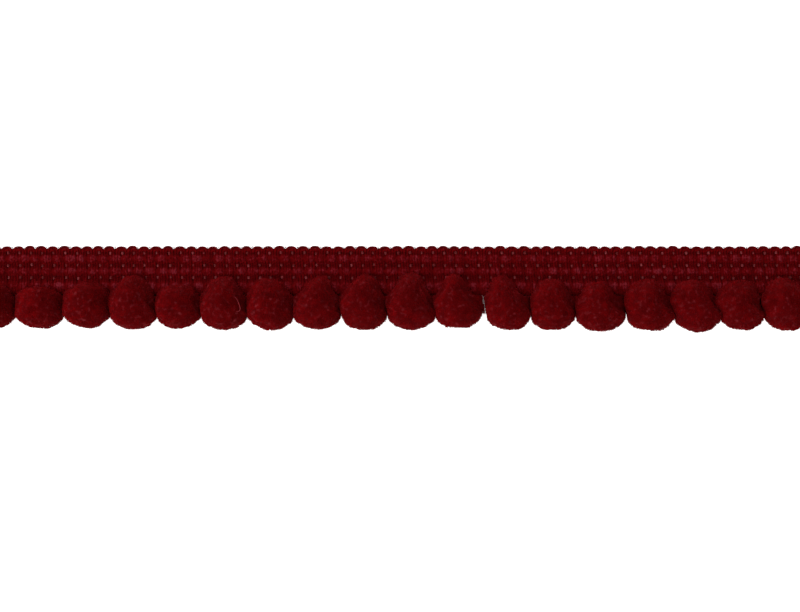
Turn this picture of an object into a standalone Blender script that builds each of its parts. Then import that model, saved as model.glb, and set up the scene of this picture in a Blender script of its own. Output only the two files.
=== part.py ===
"""A cut length of mini pompom trim, lying flat with its face up.

A crochet-knitted tape of thick weft ribs carries a row of cut-pile pompoms along its foot.
Frame: metres, +Z up. X runs along the trim, the scalloped selvedge is at +Y and the pompoms at -Y.
The trim lies on Z = 0 and the origin is under the middle of its bounding box.
"""

import random
from math import radians, tan
from typing import NamedTuple

import bmesh
import bpy
from mathutils import Matrix, Vector

MM = 0.001
CLEARANCE = 0.3 * MM            # between any two pieces
SEAT_CLEARANCE = 0.37 * MM      # over and under the sloping tape, measured upright
SEAT_STEPS = 12                 # straight stretches in which the seat follows the tape's slope
SHORTEST_EDGE = 0.03 * MM       # slivers left by a cut are closed up below this

# The tape.
COURSES = 75                    # weft ribs, laid side by side along the trim
COURSE_PITCH = 1.39 * MM
TAPE_WIDTH = 5.85 * MM
TAPE_BASE = 0.95 * MM           # thickness in the furrows between the stitches
STITCH_HEIGHT = 0.40 * MM       # a stitch's crown above the furrows
SCALLOP = 0.13 * MM             # how far a weft turn stands out of the selvedge, and a furrow in
RIB_LEAN = radians(4.0)         # the ribs lean towards +X as they near the foot
PITCH_SPREAD = 0.07             # share by which courses differ in width
TURN_SPREAD = 0.05 * MM         # by how much the weft's turns differ in reach
RESTING_STRIP = 1.5 * MM        # of the tape's width, from the selvedge, that lies on the surface
FOOT_LIFT = 1.20 * MM           # the underside at the foot, where the pompoms hold the tape up
TAPE_SEED = 11

# The pompoms.
CENTRE_DROP = 1.00 * MM         # from the tape's foot down to a pompom's centre
POMPOM_DEPTH = 5.50 * MM        # from the surface to the top of the pile
FLAT_SPOT = 0.40 * MM           # depth of pile pressed flat where a pompom rests
SIDE_BULGE = 1.16               # reach of the pile sideways before its neighbours press it flat
CORE_WOBBLE = radians(12.0)     # by how much the cores are turned at most, and
CORNER_STRAY = 0.09             # share by which their corners stray, so that no two locks match
LOCK_ROWS = 4                   # stretches into which each side of a lock is divided
FURROW_SHARE = 0.90             # reach in the furrows between locks, as a share of the pile's reach
LOCK_SPREAD = 0.03              # share by which the shorn locks differ in reach
TOWARDS_TAPE = Vector((0.0, 0.87, -0.50))
TIE_FACES = 4                   # of the core's 20 faces, those that face the tape and carry no lock
TOP_TUFT_NARROWING = 0.33       # how much narrower than a ball the tuft that laps over the tape is
FIRST_SEED = 100                # each pompom draws its unevenness from its own seed

SHARP_ANGLE = radians(50.0)     # creases steeper than this are shaded sharp
TAPE_COLOUR = (0.105, 0.004, 0.009, 1.0)
PILE_COLOUR = (0.120, 0.002, 0.006, 1.0)


class Row(NamedTuple):
    """A line along the tape's face: its place across the tape and how high the ribs stand on it."""

    across: float               # distance from the selvedge
    crown: float                # share of the stitch height on top of a rib
    furrow: float               # share of the stitch height between two ribs
    scallop: float              # share of the scallop that it takes


class RibPoint(NamedTuple):
    """A line across the tape within one course."""

    along: float                # share of the course's width
    height: float               # from 0, a row's furrow, to 1, its crown
    reach: float                # from -1, a scallop's valley, to 1, its peak


class Pompom(NamedTuple):
    """One pompom, in millimetres."""

    at: float                   # its centre along the trim
    width: float                # of the room that its pile fills
    hang: float                 # from the tape's foot down to its lowest pile
    lap: float                  # from the tape's foot up to the tip of its top tuft
    lean: float                 # of that tip, to the side


ROWS = (
    Row(0.00 * MM, -1.10, -1.20, 1.0),      # selvedge
    Row(0.25 * MM, 0.70, -0.10, 0.8),       # turn of the weft
    Row(0.68 * MM, 0.30, -0.10, 0.2),       # first chain
    Row(1.40 * MM, 1.00, 0.35, 0.0),        # first stitches
    Row(2.20 * MM, 0.25, -0.10, 0.0),       # second chain
    Row(2.95 * MM, 1.00, 0.35, 0.0),        # second stitches
    Row(3.75 * MM, 0.25, -0.10, 0.0),       # third chain
    Row(4.60 * MM, 0.90, 0.30, 0.0),        # third stitches
    Row(5.45 * MM, 0.10, -0.20, 0.0),       # foot, where the pompoms are tied
    Row(5.85 * MM, -1.00, -1.10, 0.0),      # lower edge
)
UNDERSIDE = (5.70 * MM, 4.20 * MM, 2.90 * MM, 1.50 * MM, 0.15 * MM)
RIB_SHAPE = (RibPoint(0.0, 0.0, -1.0), RibPoint(0.30, 1.0, 0.8), RibPoint(0.72, 0.85, 0.8))

POMPOMS = (
    Pompom(-47.95, 5.65, 3.98, 1.60, 0.00),
    Pompom(-42.25, 5.75, 4.00, 0.95, -0.10),
    Pompom(-36.50, 5.65, 3.96, 1.55, 0.30),
    Pompom(-30.90, 5.55, 4.05, 2.30, 0.00),
    Pompom(-25.40, 5.35, 3.98, 1.25, 0.20),
    Pompom(-19.95, 5.50, 4.12, 2.40, -0.10),
    Pompom(-14.40, 5.55, 4.16, 2.05, -0.10),
    Pompom(-8.75, 5.75, 4.02, 2.10, 0.00),
    Pompom(-3.10, 5.55, 4.13, 2.40, 0.00),
    Pompom(2.60, 5.75, 4.11, 2.70, -0.25),
    Pompom(8.30, 5.60, 4.02, 2.40, -0.50),
    Pompom(14.35, 5.35, 4.18, 2.30, -0.80),
    Pompom(19.70, 5.35, 4.27, 1.75, -0.10),
    Pompom(25.50, 6.10, 4.33, 1.40, -0.10),
    Pompom(31.45, 5.70, 4.36, 1.95, -0.40),
    Pompom(37.05, 5.55, 4.39, 1.70, -0.35),
    Pompom(42.45, 5.25, 4.18, 1.75, -0.35),
    Pompom(47.95, 5.65, 4.22, 2.05, -0.40),
)

LONGEST_HANG = max(pompom.hang for pompom in POMPOMS) * MM
SELVEDGE_Y = (TAPE_WIDTH + LONGEST_HANG - SCALLOP) / 2
FOOT_Y = SELVEDGE_Y - TAPE_WIDTH
STITCH_TOP = TAPE_BASE + STITCH_HEIGHT
HALF_LENGTH = COURSES * COURSE_PITCH / 2


def clear_scene():
    """Empty the scene."""
    for thing in list(bpy.data.objects):
        bpy.data.objects.remove(thing, do_unlink=True)


def cloth_material(name, colour, roughness):
    """A plain matt cloth finish."""
    material = bpy.data.materials.new(name)
    material.use_nodes = True
    shader = material.node_tree.nodes["Principled BSDF"]
    shader.inputs["Base Color"].default_value = colour
    shader.inputs["Roughness"].default_value = roughness
    shader.inputs["Metallic"].default_value = 0.0
    return material


def link_object(name, bm, material):
    """Turn a bmesh into a named object with its material, and free the bmesh."""
    mesh = bpy.data.meshes.new(name)
    bmesh.ops.recalc_face_normals(bm, faces=bm.faces)
    bm.to_mesh(mesh)
    bm.free()
    mesh.shade_smooth()
    mesh.set_sharp_from_angle(angle=SHARP_ANGLE)
    mesh.materials.append(material)
    thing = bpy.data.objects.new(name, mesh)
    bpy.context.collection.objects.link(thing)
    return thing


def smooth(t):
    """Rise gently from 0 to 1 as t goes from 0 to 1."""
    t = min(max(t, 0.0), 1.0)
    return t * t * (3.0 - 2.0 * t)


def underside_height(across):
    """Height of the tape's underside: flat at the selvedge, lifted by the pompoms at the foot."""
    return FOOT_LIFT * smooth((across - RESTING_STRIP) / (TAPE_WIDTH - RESTING_STRIP))


# ---------------------------------------------------------------------------------------- the tape


def rib_lines(seed):
    """Lines across the tape, as (x, height, reach), a few for each course."""
    rng = random.Random(seed)
    widths = [1.0 + rng.uniform(-PITCH_SPREAD, PITCH_SPREAD) for _ in range(COURSES)]
    unit = 2 * HALF_LENGTH / sum(widths)
    lines = []
    x = -HALF_LENGTH
    for width in widths:
        turn = rng.uniform(-TURN_SPREAD, TURN_SPREAD)
        for point in RIB_SHAPE:
            reach = point.reach * SCALLOP + max(point.reach, 0.0) * turn
            lines.append((x + point.along * width * unit, point.height, reach))
        x += width * unit
    lines.append((HALF_LENGTH, RIB_SHAPE[0].height, RIB_SHAPE[0].reach * SCALLOP))
    return lines


def tape_ring(line):
    """The tape's cross-section on one line: its face from selvedge to foot, then its underside back."""
    x, height, reach = line
    points = []
    for row in ROWS:
        share = row.furrow + (row.crown - row.furrow) * height
        points.append((row.across, underside_height(row.across) + TAPE_BASE + share * STITCH_HEIGHT,
                       row.scallop * reach))
    for across in UNDERSIDE:
        edge = reach if across == UNDERSIDE[-1] else 0.0
        points.append((across, underside_height(across), edge))
    lean = tan(RIB_LEAN)
    return [Vector((x + lean * (across - TAPE_WIDTH / 2), SELVEDGE_Y - across + out, z))
            for across, z, out in points]


def make_tape():
    """The knitted heading tape, its ribs and stitches raised in its face."""
    bm = bmesh.new()
    rings = [[bm.verts.new(point) for point in tape_ring(line)] for line in rib_lines(TAPE_SEED)]
    count = len(rings[0])
    for left, right in zip(rings, rings[1:]):
        for i in range(count):
            j = (i + 1) % count
            bm.faces.new((left[i], left[j], right[j], right[i]))
    bm.faces.new(rings[0])
    bm.faces.new(rings[-1])
    return link_object("tape", bm, cloth_material("tape_yarn", TAPE_COLOUR, 0.85))


# ------------------------------------------------------------------------------------- the pompoms


def make_seat_cutter():
    """The room that the tape takes up among the pompoms, a clearance larger than the tape all round."""
    foot = FOOT_Y - CLEARANCE
    lines = [TAPE_WIDTH * i / SEAT_STEPS for i in range(SEAT_STEPS + 1)]
    over = [(SELVEDGE_Y - across, underside_height(across) + STITCH_TOP + SEAT_CLEARANCE)
            for across in lines]
    under = [(SELVEDGE_Y - across, underside_height(across) - SEAT_CLEARANCE) for across in lines]
    outline = over + [(foot, over[-1][1]), (foot, under[-1][1])] + under[::-1]
    bm = bmesh.new()
    end = bm.faces.new([bm.verts.new((-HALF_LENGTH, y, z)) for y, z in outline])
    bar = bmesh.ops.extrude_face_region(bm, geom=[end])
    moved = [part for part in bar["geom"] if isinstance(part, bmesh.types.BMVert)]
    bmesh.ops.translate(bm, verts=moved, vec=(2 * HALF_LENGTH, 0, 0))
    cutter = link_object("tape_seat_cutter", bm, cloth_material("cutter", TAPE_COLOUR, 1.0))
    cutter.hide_render = True
    cutter.display_type = "WIRE"
    return cutter


def core_ball(rng):
    """A core of 20 uneven triangles round a unit ball, one facing away from the tape with a corner up."""
    bm = bmesh.new()
    bmesh.ops.create_icosphere(bm, subdivisions=1, radius=1.0)
    bm.faces.ensure_lookup_table()
    lowest = bm.faces[0]
    turn = lowest.normal.rotation_difference(Vector((0, -1, 0))).to_matrix()
    bmesh.ops.rotate(bm, verts=bm.verts, matrix=turn)
    corner = max(lowest.verts, key=lambda vert: vert.co.z)
    spin = Vector((corner.co.x, corner.co.z)).angle_signed(Vector((0, 1)))
    wobble = rng.uniform(-CORE_WOBBLE, CORE_WOBBLE)
    bmesh.ops.rotate(bm, verts=bm.verts, matrix=Matrix.Rotation(spin + wobble, 3, "Y"))
    for vert in bm.verts:
        stray = Vector([rng.uniform(-CORNER_STRAY, CORNER_STRAY) for _ in range(3)])
        vert.co = (vert.co + stray).normalized()
    return bm


def raise_locks(bm, rng):
    """Raise a blunt three-sided lock on each of the core's faces but those that meet the tape."""
    middles = [face.calc_center_median().normalized() for face in bm.faces]
    tie = sorted(middles, key=lambda middle: -middle.dot(TOWARDS_TAPE))[:TIE_FACES]
    corners = [[vert.co.copy() for vert in face.verts] for face in bm.faces]
    reaches = [1.0 + rng.uniform(-LOCK_SPREAD, LOCK_SPREAD) for _ in middles]
    bmesh.ops.subdivide_edges(bm, edges=list(bm.edges), cuts=LOCK_ROWS - 1, use_grid_fill=True)
    for vert in bm.verts:
        inside = [min(Matrix(three).transposed().inverted() @ vert.co) for three in corners]
        depth = max(inside)
        face = inside.index(depth)
        rise = 0.0 if middles[face] in tie else min(max(depth, 0.0) * LOCK_ROWS, 1.0)
        reach = FURROW_SHARE + (reaches[face] - FURROW_SHARE) * rise
        vert.co = vert.co.normalized() * reach
    return bm


def shape_point(point, pompom):
    """Carry a point of the unit ball to its place in a pompom that lies beside its neighbours."""
    half_width = pompom.width * MM / 2 - CLEARANCE / 2
    rise = max(point.y, 0.0)
    x = SIDE_BULGE * half_width * (1.0 - TOP_TUFT_NARROWING * rise) * point.x
    x = min(max(x, -half_width), half_width) + pompom.lean * MM * rise
    reach = pompom.lap * MM + CENTRE_DROP if point.y > 0.0 else pompom.hang * MM - CENTRE_DROP
    y = FOOT_Y - CENTRE_DROP + reach * point.y
    sag = FOOT_LIFT - underside_height(SELVEDGE_Y - max(y, FOOT_Y))
    z = (POMPOM_DEPTH + FLAT_SPOT) / 2 * (1.0 + point.z) - FLAT_SPOT - sag
    return Vector((pompom.at * MM + x, y, max(z, 0.0)))


def make_pompom(number, pompom, material, cutter):
    """One pompom: locks of cut pile on a tied core, cut away where the tape's foot passes."""
    rng = random.Random(FIRST_SEED + number)
    bm = raise_locks(core_ball(rng), rng)
    for vert in bm.verts:
        vert.co = shape_point(vert.co, pompom)
    ball = link_object(f"pompom_{number:02d}", bm, material)
    seat = ball.modifiers.new("tape_seat", "BOOLEAN")
    seat.operation = "DIFFERENCE"
    seat.solver = "EXACT"
    seat.object = cutter
    weld = ball.modifiers.new("close_slivers", "WELD")
    weld.merge_threshold = SHORTEST_EDGE
    return ball


def main():
    """Build the trim."""
    clear_scene()
    make_tape()
    cutter = make_seat_cutter()
    pile = cloth_material("pompom_pile", PILE_COLOUR, 0.95)
    for number, pompom in enumerate(POMPOMS, start=1):
        make_pompom(number, pompom, pile, cutter)


main()
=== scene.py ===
"""A cut length of mini pompom trim in deep red, lying flat with its face up.

A crochet-knitted heading tape of soft weft yarn, bound along its length by fine chain-stitch
threads, carries a row of shorn cut-pile pompoms along its foot.

Lengths are in millimetres until a mesh is made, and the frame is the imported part's own: X runs
along the trim, the scalloped selvedge is at +Y, the pompoms are at -Y, and it lies on Z = 0.
"""

from __future__ import annotations

import logging
import math
import random
from dataclasses import dataclass, field
from enum import Enum
from functools import partial

import bmesh
import bpy
import numpy as np
from bpy.types import Material, Node, NodeSocket, NodeTree, Object
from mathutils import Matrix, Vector

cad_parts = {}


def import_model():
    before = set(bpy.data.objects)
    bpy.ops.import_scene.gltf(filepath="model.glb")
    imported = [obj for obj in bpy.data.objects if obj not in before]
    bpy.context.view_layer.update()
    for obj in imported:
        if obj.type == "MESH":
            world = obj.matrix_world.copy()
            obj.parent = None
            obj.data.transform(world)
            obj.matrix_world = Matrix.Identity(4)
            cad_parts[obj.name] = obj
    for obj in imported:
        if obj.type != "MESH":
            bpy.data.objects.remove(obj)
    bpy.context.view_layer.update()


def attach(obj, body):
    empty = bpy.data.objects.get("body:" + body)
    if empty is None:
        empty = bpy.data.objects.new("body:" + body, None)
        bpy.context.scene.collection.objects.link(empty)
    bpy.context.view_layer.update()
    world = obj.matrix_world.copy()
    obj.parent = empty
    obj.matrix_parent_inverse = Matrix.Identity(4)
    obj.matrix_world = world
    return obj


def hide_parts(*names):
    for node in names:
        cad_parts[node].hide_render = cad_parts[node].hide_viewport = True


LOG = logging.getLogger("pompom_trim")
MM = 0.001
BODY = "root"
THREAD_MAP = "ThreadMap"
Array = np.ndarray


class Slot(Enum):
    """The record's material slots."""

    TAPE = "tape_yarn"
    PILE = "pompom_pile"


# ------------------------------ small tools


def linear(hex_colour: str) -> tuple[float, float, float, float]:
    """Turn an sRGB hex colour into the linear colour that a shader takes.

    Args:
        hex_colour: Six hex digits after a hash.

    Returns:
        Linear red, green, blue and a full alpha.
    """
    channels = [int(hex_colour[i:i + 2], 16) / 255 for i in (1, 3, 5)]
    red, green, blue = [c / 12.92 if c <= 0.04045 else ((c + 0.055) / 1.055) ** 2.4
                        for c in channels]
    return red, green, blue, 1.0


def smooth(share: Array) -> Array:
    """Rise gently from 0 to 1 as the share goes from 0 to 1."""
    held = np.clip(share, 0.0, 1.0)
    return held * held * (3.0 - 2.0 * held)


def ease_through(at: Array, knots: Array, values: Array) -> Array:
    """Read a curve that levels out at each of its knots.

    Args:
        at: Where the curve is read.
        knots: The knots' places, rising.
        values: The curve's value at each knot.

    Returns:
        The curve's value at each place.
    """
    held = np.clip(at, knots[0], knots[-1])
    i = np.clip(np.searchsorted(knots, held, side="right") - 1, 0, len(knots) - 2)
    share = (held - knots[i]) / (knots[i + 1] - knots[i])
    return values[i] + (values[i + 1] - values[i]) * smooth(share)


def unit(vectors: Array) -> Array:
    """Scale each row to length 1."""
    return vectors / np.maximum(np.linalg.norm(vectors, axis=-1, keepdims=True), 1e-12)


def even_directions(count: int, rng: np.random.Generator, stray: float) -> Array:
    """Spread directions evenly over a ball, along a golden spiral, then let each stray.

    Args:
        count: How many directions.
        rng: The seeded source of unevenness.
        stray: By how much each strays, as a share of the spacing.

    Returns:
        Unit vectors, one per row.
    """
    i = np.arange(count) + 0.5
    height = 1.0 - 2.0 * i / count
    turn = math.pi * (1.0 + math.sqrt(5.0)) * i
    level = np.sqrt(1.0 - height ** 2)
    found = np.column_stack((np.cos(turn) * level, np.sin(turn) * level, height))
    spacing = math.sqrt(4.0 * math.pi / count)
    return unit(found + rng.normal(0.0, stray * spacing, found.shape))


def fill(node: Node, inputs: dict[str | int, object]) -> None:
    """Give a node's inputs their values and links.

    Args:
        node: The node.
        inputs: A value, or an output socket to link, for each named or numbered input.
    """
    for key, value in inputs.items():
        if isinstance(value, NodeSocket):
            node.id_data.links.new(value, node.inputs[key])
        else:
            node.inputs[key].default_value = value


def add_node(tree: NodeTree, kind: str, settings: dict[str, object] | None = None,
             inputs: dict[str | int, object] | None = None, output: str | int = 0) -> NodeSocket:
    """Add a shader node with its settings, values and links.

    Args:
        tree: The material's nodes.
        kind: The node's Blender type, after "ShaderNode".
        settings: Properties of the node itself.
        inputs: What its inputs are filled with.
        output: Which of its outputs is used.

    Returns:
        That output.
    """
    node = tree.nodes.new(f"ShaderNode{kind}")
    for key, value in (settings or {}).items():
        setattr(node, key, value)
    fill(node, inputs or {})
    return node.outputs[output]


# ------------------------------ the meshes


@dataclass
class Batch:
    """Gathers threads, tufts and sheets into one mesh.

    Each point carries two numbers for its material: tip, from 0 deep in the yarn or pile to 1
    at a free fibre end, which the finishes paint as shade low down and light high up, and shade,
    around 0, which tells one yarn or tuft from the next and also carries painted light and shade
    on some rows of the tape. Each corner carries its place along and round its thread.
    """

    name: str
    points: list[Array] = field(default_factory=list)
    tips: list[Array] = field(default_factory=list)
    shades: list[Array] = field(default_factory=list)
    faces: list[Array] = field(default_factory=list)
    maps: list[Array] = field(default_factory=list)
    count: int = 0

    def add(self, points: Array, faces: list[Array], maps: list[Array] | None = None,
            tip: float | Array = 0.0, shade: float | Array = 0.0) -> None:
        """Add points and the faces between them; what would pass the table lies on it.

        Args:
            points: Places in millimetres, one per row.
            faces: Blocks of faces, each with three or four points a row, numbered from 0.
            maps: For each block, the corners' places along and round their thread.
            tip: The points' tip value, or one each.
            shade: The points' shade value, or one each.
        """
        self.points.append(np.column_stack((points[:, :2], np.maximum(points[:, 2], 0.0))))
        self.tips.append(np.broadcast_to(np.asarray(tip, float), (len(points),)))
        self.shades.append(np.broadcast_to(np.asarray(shade, float), (len(points),)))
        for i, block in enumerate(faces):
            self.faces.append(block + self.count)
            self.maps.append(np.zeros((*block.shape, 2)) if maps is None else maps[i])
        self.count += len(points)

    def thread(self, path: Array, radius: Array, sides: int, shade: float | Array,
               squash: float = 1.0, tip: float | Array = 0.0) -> None:
        """Sweep a round thread along a path and close its two cut ends.

        Args:
            path: The thread's centreline.
            radius: Its radius at each point of the path.
            sides: How many sides the thread has.
            shade: Its shade value, or one for each point of the path.
            squash: Its height as a share of its width.
            tip: Its tip value, or one for each point of the path.
        """
        ahead = unit(np.gradient(path, axis=0))
        across = unit(np.cross(ahead, (0.0, 0.0, 1.0)))
        over = np.cross(across, ahead)
        turn = np.arange(sides) * 2.0 * math.pi / sides
        ring = (across[:, None] * np.cos(turn)[None, :, None]
                + over[:, None] * np.sin(turn)[None, :, None] * squash)
        points = (path[:, None] + ring * radius[:, None, None]).reshape(-1, 3)
        here = np.arange(len(path) * sides).reshape(-1, sides)
        following = np.roll(here, -1, axis=1)
        quads = np.stack((here[:-1], following[:-1], following[1:], here[1:]),
                         axis=-1).reshape(-1, 4)
        length = np.concatenate(([0.0], np.cumsum(np.linalg.norm(np.diff(path, axis=0), axis=1))))
        u = np.repeat(length[:, None], sides, axis=1)
        v = np.broadcast_to(np.arange(sides)[None] / sides, u[1:].shape)
        corners = np.stack([np.stack(pair, -1) for pair in (
            (u[:-1], v), (u[:-1], v + 1.0 / sides), (u[1:], v + 1.0 / sides), (u[1:], v))], axis=2)
        fan = np.array([(0, i, i + 1) for i in range(1, sides - 1)])
        last = (len(path) - 1) * sides
        ends = np.vstack((fan[:, ::-1], fan + last))
        self.add(points, [quads, ends], [corners.reshape(-1, 4, 2), np.zeros((*ends.shape, 2))],
                 tip=np.repeat(np.broadcast_to(tip, (len(path),)), sides),
                 shade=np.repeat(np.broadcast_to(shade, (len(path),)), sides))

    @staticmethod
    def spokes(ahead: Array, rng: np.random.Generator) -> Array:
        """Set three spokes round each direction, turned at random.

        Args:
            ahead: Unit vectors, one per row.
            rng: The seeded source of unevenness.

        Returns:
            For each direction, three unit vectors square to it.
        """
        across = unit(np.cross(ahead, unit(rng.normal(size=ahead.shape))))
        over = np.cross(ahead, across)
        turn = np.arange(3) * 2.0 * math.pi / 3
        return (across[:, None] * np.cos(turn)[None, :, None]
                + over[:, None] * np.sin(turn)[None, :, None])

    def tufts(self, roots: Array, ends: Array, radius: Array,
              rng: np.random.Generator, shade: Array, root_tip: float) -> None:
        """Add pointed three-sided tufts, each standing for a few fibre ends.

        Args:
            roots: The middle of each tuft's root.
            ends: Each tuft's free end.
            radius: Each tuft's radius at its root.
            rng: The seeded source of unevenness.
            shade: Each tuft's shade value.
            root_tip: The tip value at the root.
        """
        ring = self.spokes(unit(ends - roots), rng) * radius[:, None, None]
        points = np.concatenate((roots[:, None] + ring, ends[:, None]), axis=1).reshape(-1, 3)
        start = np.arange(len(roots))[:, None] * 4
        faces = [start + np.array(side) for side in ((0, 1, 3), (1, 2, 3), (2, 0, 3))]
        tip = np.tile((root_tip, root_tip, root_tip, 1.0), len(roots))
        self.add(points, [np.concatenate(faces)], tip=tip, shade=np.repeat(shade, 4))

    def hairs(self, roots: Array, middles: Array, ends: Array, radius: float,
              rng: np.random.Generator, shade: Array) -> None:
        """Add single bent fibres that taper to a point.

        Args:
            roots: Where each fibre starts.
            middles: Where it bends.
            ends: Its free end.
            radius: Its radius at the root.
            rng: The seeded source of unevenness.
            shade: Each fibre's shade value.
        """
        ring = self.spokes(unit(ends - roots), rng) * radius
        points = np.concatenate((roots[:, None] + ring, middles[:, None] + 0.8 * ring,
                                 ends[:, None]), axis=1).reshape(-1, 3)
        start = np.arange(len(roots))[:, None] * 7
        lower, upper = (np.concatenate([start + np.array(side) for side in sides]) for sides in (
            ((0, 1, 4, 3), (1, 2, 5, 4), (2, 0, 3, 5)), ((3, 4, 6), (4, 5, 6), (5, 3, 6))))
        tip = np.tile((0.5, 0.5, 0.5, 0.8, 0.8, 0.8, 1.0), len(roots))
        self.add(points, [lower, upper], tip=tip, shade=np.repeat(shade, 7))

    def make(self, material: Material, slot: Slot) -> Object:
        """Make the piece, give it its finish and let it ride on the part.

        Args:
            material: The piece's finish.
            slot: Not used.

        Returns:
            The finished object.
        """
        mesh = bpy.data.meshes.new(self.name)
        points = np.concatenate(self.points) * MM
        mesh.vertices.add(len(points))
        mesh.vertices.foreach_set("co", points.astype(np.float32).ravel())
        corners = np.concatenate([block.ravel() for block in self.faces])
        sizes = np.concatenate([np.full(len(block), block.shape[1]) for block in self.faces])
        mesh.loops.add(len(corners))
        mesh.loops.foreach_set("vertex_index", corners.astype(np.int32))
        mesh.polygons.add(len(sizes))
        mesh.polygons.foreach_set("loop_start", (np.cumsum(sizes) - sizes).astype(np.int32))
        mesh.update(calc_edges=True)
        for label, values in (("tip", self.tips), ("shade", self.shades)):
            layer = mesh.attributes.new(label, "FLOAT", "POINT")
            layer.data.foreach_set("value", np.concatenate(values).astype(np.float32))
        thread_map = mesh.uv_layers.new(name=THREAD_MAP)
        placed = np.concatenate([block.reshape(-1, 2) for block in self.maps])
        thread_map.data.foreach_set("uv", placed.astype(np.float32).ravel())
        mesh.shade_smooth()
        mesh.materials.append(material)
        thing = bpy.data.objects.new(self.name, mesh)
        bpy.context.scene.collection.objects.link(thing)
        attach(thing, BODY)
        LOG.info("%s: %d points, %d triangles", self.name, len(points), int((sizes - 2).sum()))
        return thing


# ------------------------------ the finishes

# Settings that the finishes' nodes share: sums, with or without a clamp, and colour blends.
TIMES = {"operation": "MULTIPLY"}
TIMES_PLUS = {"operation": "MULTIPLY_ADD"}
TIMES_PLUS_HELD = {"operation": "MULTIPLY_ADD", "use_clamp": True}
PLUS_HELD = {"operation": "ADD", "use_clamp": True}
COLOURS = {"data_type": "RGBA"}


def new_material(name: str) -> tuple[Material, Node, NodeSocket]:
    """Start a material.

    Args:
        name: Its name.

    Returns:
        The material, its shader, and the place on the object that its patterns read.
    """
    material = bpy.data.materials.new(name)
    material.use_nodes = True
    tree = material.node_tree
    return material, tree.nodes["Principled BSDF"], add_node(tree, "TexCoord", output="Object")


@dataclass(frozen=True, kw_only=True)
class DyedFibre:
    """What a dyed yarn and a dyed pile share."""

    name: str
    deep: str                   # painted shade: the colour between the fibres, deep in the pile and in the yarn's troughs
    lit: str                    # colour of the fibres on the outside
    pale: str                   # on the yarn, a painted highlight where loose fibres on its crests would catch the light; on the pile, the colour of random paler flecks
    roughness: float
    specular: float
    sheen: float
    sheen_roughness: float
    sheen_tint: str
    fleck: float                # mm, the size of the flecks in its colour

    def start(self) -> tuple[Material, Node, list[NodeSocket]]:
        """Start the material with what is the same all over it.

        Returns:
            The material, its shader, and the place, tip and shade that its patterns read.
        """
        material, shader, place = new_material(self.name)
        fill(shader, {"Roughness": self.roughness, "Specular IOR Level": self.specular,
                      "Sheen Weight": self.sheen, "Sheen Roughness": self.sheen_roughness,
                      "Sheen Tint": linear(self.sheen_tint)})
        return material, shader, [place] + [
            add_node(material.node_tree, "Attribute", {"attribute_name": label}, output="Fac")
            for label in ("tip", "shade")]

    def paint(self, shader: Node, light: NodeSocket, loose: NodeSocket) -> None:
        """Colour the shader from deep to lit, which paints shade and light, then towards pale, a
        painted highlight on the yarn and random paler flecks on the pile.

        Args:
            shader: The material's shader.
            light: From 0, painted shade between the fibres, to 1, painted light on the outside.
            loose: From 0 to 1 where pale shows: a painted highlight on the yarn, random flecks on
                the pile.
        """
        colour = linear(self.deep)
        for share, over in ((light, self.lit), (loose, self.pale)):
            colour = add_node(shader.id_data, "Mix", COLOURS,
                              {0: share, 6: colour, 7: linear(over)}, 2)
        fill(shader, {"Base Color": colour})


@dataclass(frozen=True, kw_only=True)
class YarnFinish(DyedFibre):
    """A dyed yarn, drawn by its spinning: plies that wind round it, with painted shade in its
    troughs, painted light on its crests and a painted highlight where fibres fluff out.
    """

    plies: int                  # ridges round the yarn
    ply_pitch: float            # mm along the yarn for one turn of a ply
    ply_depth: float            # mm
    drift: tuple[float, float] = (1.6, -0.35)   # the flecks' gain, and what is taken off it
    crest: float = 0.35         # how much lighter it is on its crests: painted light
    painted_highlight: tuple[float, float] = (2.0, -0.75)   # how soon a light crest turns pale: a painted highlight

    def material(self) -> Material:
        """Make the yarn's material.

        Returns:
            A material that reads the tip and shade of each point and the thread's own map.
        """
        material, shader, (place, tip, shade) = self.start()
        add = partial(add_node, material.node_tree)
        flecks = add("TexNoise", inputs={"Vector": place, "Scale": 1.0 / (self.fleck * MM),
                                         "Detail": 3.0, "Roughness": 0.65})
        spread = add("Math", TIMES_PLUS, {0: flecks, 1: self.drift[0], 2: self.drift[1]})
        lighter = add("Math", PLUS_HELD, {0: spread, 1: shade})
        raised = add("Math", TIMES_PLUS_HELD, {0: tip, 1: self.crest, 2: lighter})
        # Painted highlight: pale where the crests are high and light.
        caught = add("Math", TIMES, {0: tip, 1: lighter})
        loose = add("Math", TIMES_PLUS_HELD, {0: caught, 1: self.painted_highlight[0], 2: self.painted_highlight[1]})
        self.paint(shader, raised, loose)
        along_round = add("UVMap", {"uv_map": THREAD_MAP})
        along, turned = add("SeparateXYZ", inputs={0: along_round}).node.outputs[:2]
        turns = add("Math", TIMES_PLUS, {0: along, 1: 1.0 / self.ply_pitch, 2: turned})
        phase = add("Math", TIMES, {0: turns, 1: 2.0 * math.pi * self.plies})
        ridge = add("Math", {"operation": "SINE"}, {0: phase})
        relief = add("Bump", inputs={"Height": ridge, "Strength": 1.0,
                                     "Distance": self.ply_depth * MM / 2})
        fill(shader, {"Normal": relief})
        return material


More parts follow.
